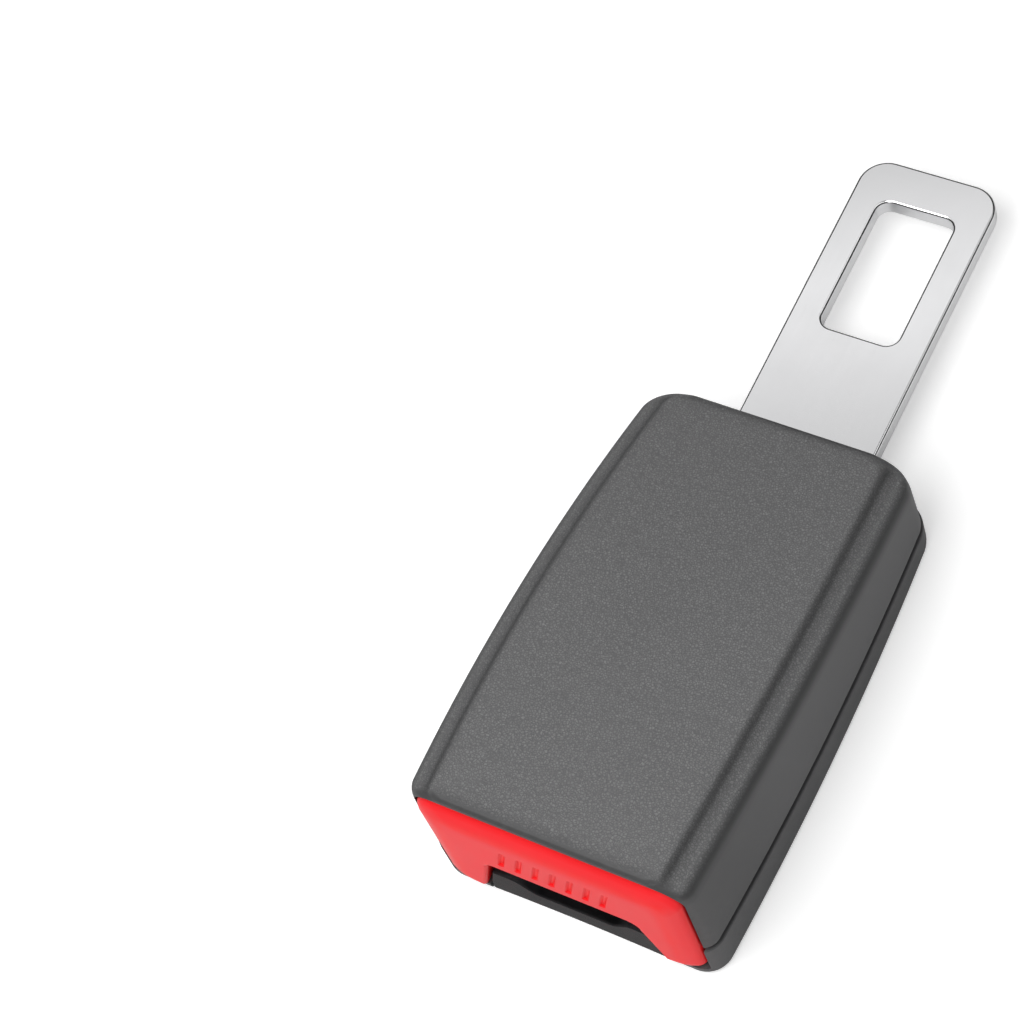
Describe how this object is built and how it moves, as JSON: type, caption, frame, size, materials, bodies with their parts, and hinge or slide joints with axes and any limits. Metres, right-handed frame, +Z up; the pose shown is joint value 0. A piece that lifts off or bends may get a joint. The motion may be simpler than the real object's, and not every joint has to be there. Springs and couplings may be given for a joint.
{
  "type": "seat belt extender",
  "caption": "Rigid seat belt extender: a buckle housing with a press button and belt mouth at one end and a slotted steel tongue at the other.",
  "frame": {"origin": "under the middle of the overall length, on the plane of the housing's underside", "axes": "+X across the width, +Y along the length towards the tongue's tip, +Z up"},
  "size_m": [0.0458, 0.1264, 0.0291],
  "materials": {
    "grained_plastic": "fine moulded leather grain, dark grey",
    "satin_plastic": "smooth satin, dark grey",
    "black_plastic": "polished black",
    "red_plastic": "smooth semi-gloss red",
    "bright_steel": "polished plated steel",
    "zinc_steel": "satin zinc plate",
    "spring_steel": "drawn wire and ground pin",
    "natural_plastic": "unpainted acetal"
  },
  "bodies": {
    "housing": {"upper_casing": "grained_plastic", "lower_casing": "satin_plastic", "mouth_guide": "black_plastic", "tongue_plate": "bright_steel", "buckle_frame": "zinc_steel", "frame_rivet_left": "zinc_steel", "frame_rivet_right": "zinc_steel", "latch_pin": "spring_steel", "latch_spring": "spring_steel", "ejector_spring": "spring_steel", "spring_seat": "natural_plastic", "button_spring_left": "spring_steel", "button_spring_right": "spring_steel", "casing_screw_front_left": "zinc_steel", "casing_screw_front_right": "zinc_steel", "casing_screw_rear_left": "zinc_steel", "casing_screw_rear_right": "zinc_steel"},
    "button": {"press_button": "red_plastic"},
    "latch": {"latch_plate": "zinc_steel"},
    "ejector": {"ejector": "natural_plastic"}
  },
  "joints": [
    {"name": "button_press", "type": "slide", "parent": "housing", "child": "button", "axis": [0, 1, 0], "range_m": [0, 0.005], "stiffness_N_per_m": 800, "deforming": ["button_spring_left", "button_spring_right"]},
    {"name": "latch_tilt", "type": "hinge", "parent": "housing", "child": "latch", "pos_m": [0, -0.01105, 0.0156], "axis": [-1, 0, 0], "range_deg": [0, 13.5], "stiffness_Nm_per_rad": 0.05, "deforming": ["latch_spring"]},
    {"name": "ejector_slide", "type": "slide", "parent": "housing", "child": "ejector", "axis": [0, 1, 0], "range_m": [0, 0.0123], "stiffness_N_per_m": 150, "deforming": ["ejector_spring"]}
  ],
  "couplings": [
    {"joint": "latch_tilt", "follows": "button_press", "rad_per_m": 47.12}
  ]
}
